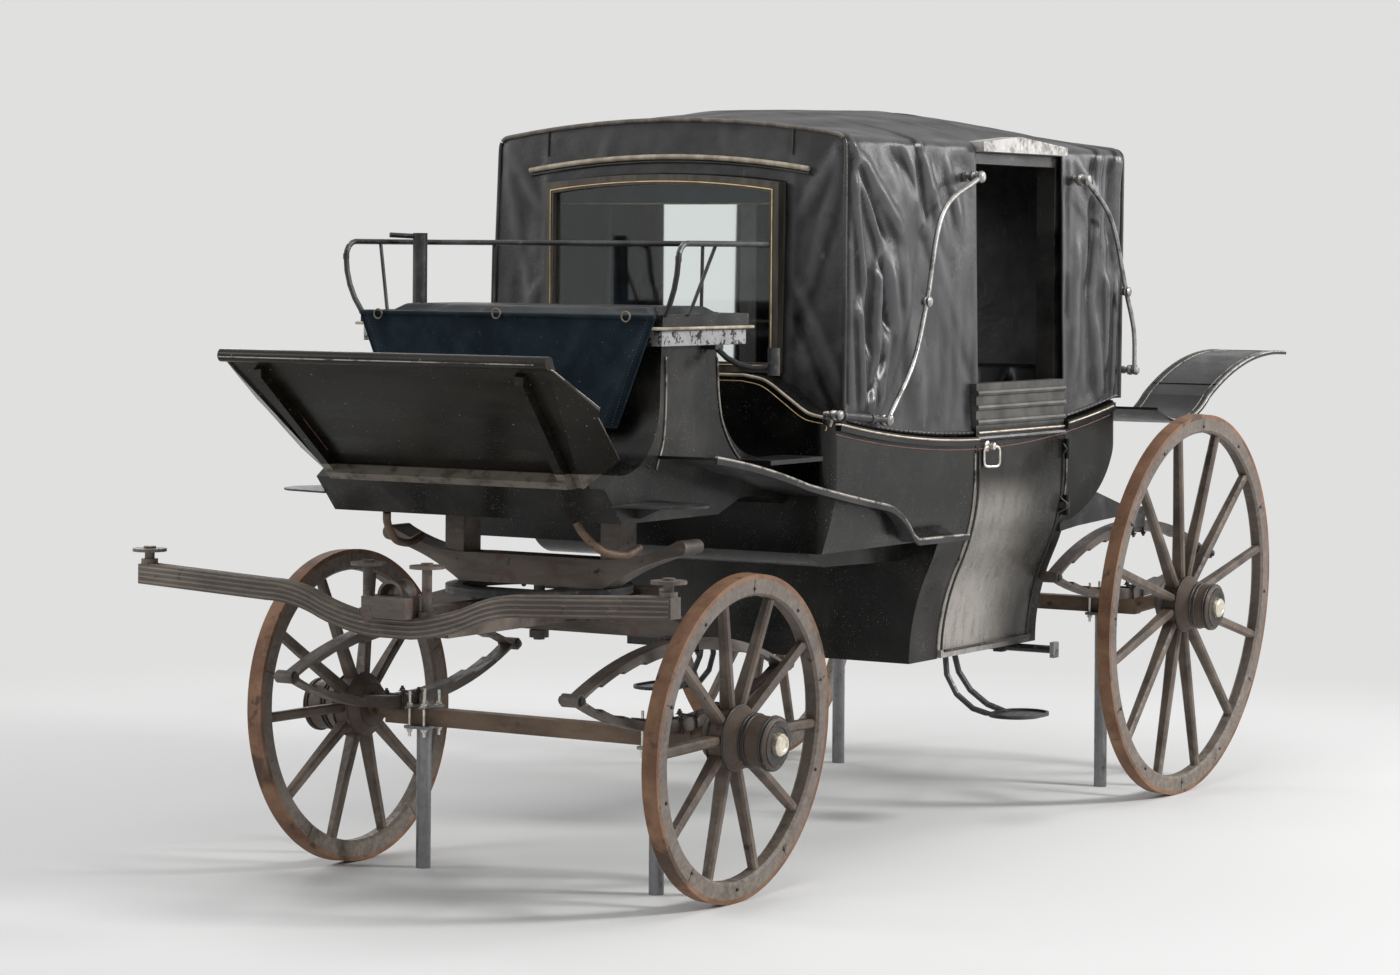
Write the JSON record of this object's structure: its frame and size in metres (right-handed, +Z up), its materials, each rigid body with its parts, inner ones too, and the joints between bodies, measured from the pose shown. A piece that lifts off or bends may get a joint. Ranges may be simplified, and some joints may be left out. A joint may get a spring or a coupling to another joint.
{
  "type": "closed four-wheeled horse carriage",
  "caption": "Closed passenger carriage with leather hood, side doors, driver's box, elliptic springs, spoked wheels, steering forecarriage and splinter bar, on museum stands.",
  "frame": {"origin": "on the floor, midway between the footboard's lip and the tips of the rear wings, on the centre line", "axes": "+Y runs from the front to the rear, +X to the carriage's left side, +Z up"},
  "size_m": [1.7714, 4.023, 2.112],
  "materials": {
    "body_black": "old black coach lacquer over wooden panels, dusty, dull gloss",
    "hood_leather": "black hood leather, greyed and creased",
    "seat_leather": "dark buttoned leather",
    "gear_wood": "grey-brown painted running gear with worn red lines",
    "spring_iron": "old painted spring steel, brown",
    "tyre_iron": "rusty iron tyre",
    "black_iron": "black painted iron, worn bright at edges",
    "bare_metal": "bare worn metal",
    "patent_leather": "patent leather, dusty",
    "apron_cloth": "navy blue cloth",
    "stand_steel": "grey steel tube of a museum stand",
    "window_wood": "dark varnished window frame",
    "window_glass": "clear old glass"
  },
  "bodies": {
    "root": {"brake_column": "black_iron", "brake_shaft": "black_iron", "cabin_well": "body_black", "door_caps": "bare_metal", "door_pillars": "body_black", "driver_boot": "body_black", "driver_cushion": "seat_leather", "driver_seat": "body_black", "driver_steps": "black_iron", "footboard": "body_black", "front_mudguards": "patent_leather", "front_panel": "body_black", "front_quarters": "body_black", "front_seat_cushion": "seat_leather", "front_seat_squab": "seat_leather", "front_window_frame": "window_wood", "front_window_pane": "window_glass", "hood_front": "hood_leather", "hood_irons": "black_iron", "hood_rear": "hood_leather", "lamp_brackets": "black_iron", "passenger_steps": "black_iron", "rear_axle": "gear_wood", "rear_body_irons": "black_iron", "rear_quarters": "body_black", "rear_seat_cushion": "seat_leather", "rear_seat_squab": "seat_leather", "rear_springs": "spring_iron", "rear_stands": "stand_steel", "rear_wings": "patent_leather", "seat_apron": "apron_cloth", "seat_boards": "window_wood", "seat_guard_rail": "black_iron", "seat_heel_boards": "window_wood", "transom": "gear_wood", "wheel_plate_high": "black_iron"},
    "forecarriage": {"front_axle": "gear_wood", "front_springs": "spring_iron", "front_stands": "stand_steel", "lower_bed": "gear_wood", "wheel_plate_low": "black_iron", "futchells": "gear_wood", "sway_bar": "gear_wood", "splinter_bar": "gear_wood", "roller_bolts": "gear_wood", "pole_socket": "gear_wood"},
    "front_wheel_left": {"front_wheel_left": "gear_wood", "front_tyre_left": "tyre_iron"},
    "front_wheel_right": {"front_wheel_right": "gear_wood", "front_tyre_right": "tyre_iron"},
    "rear_wheel_left": {"rear_wheel_left": "gear_wood", "rear_tyre_left": "tyre_iron"},
    "rear_wheel_right": {"rear_wheel_right": "gear_wood", "rear_tyre_right": "tyre_iron"},
    "door_left": {"door_left": "body_black", "door_handle_left": "bare_metal"},
    "door_right": {"door_right": "body_black", "door_handle_right": "bare_metal"}
  },
  "joints": [
    {"name": "forecarriage_steer", "type": "hinge", "parent": "root", "child": "forecarriage", "pos_m": [0, -1.2835, 0.78], "axis": [0, 0, 1], "range_deg": [-50, 50]},
    {"name": "front_left_spin", "type": "hinge", "parent": "forecarriage", "child": "front_wheel_left", "pos_m": [0.62248, -1.2835, 0.42555], "axis": [0.9982, 0, -0.06], "continuous": true},
    {"name": "front_right_spin", "type": "hinge", "parent": "forecarriage", "child": "front_wheel_right", "pos_m": [-0.62248, -1.2835, 0.42555], "axis": [0.9982, 0, 0.06], "continuous": true},
    {"name": "rear_left_spin", "type": "hinge", "parent": "root", "child": "rear_wheel_left", "pos_m": [0.76744, 1.1605, 0.59117], "axis": [0.9982, 0, -0.06], "continuous": true},
    {"name": "rear_right_spin", "type": "hinge", "parent": "root", "child": "rear_wheel_right", "pos_m": [-0.76744, 1.1605, 0.59117], "axis": [0.9982, 0, 0.06], "continuous": true},
    {"name": "door_left_hinge", "type": "hinge", "parent": "root", "child": "door_left", "pos_m": [0.612, 0.6355, 1], "axis": [0, 0, 1], "range_deg": [0, 80]},
    {"name": "door_right_hinge", "type": "hinge", "parent": "root", "child": "door_right", "pos_m": [-0.612, 0.6355, 1], "axis": [0, 0, -1], "range_deg": [0, 80]}
  ]
}
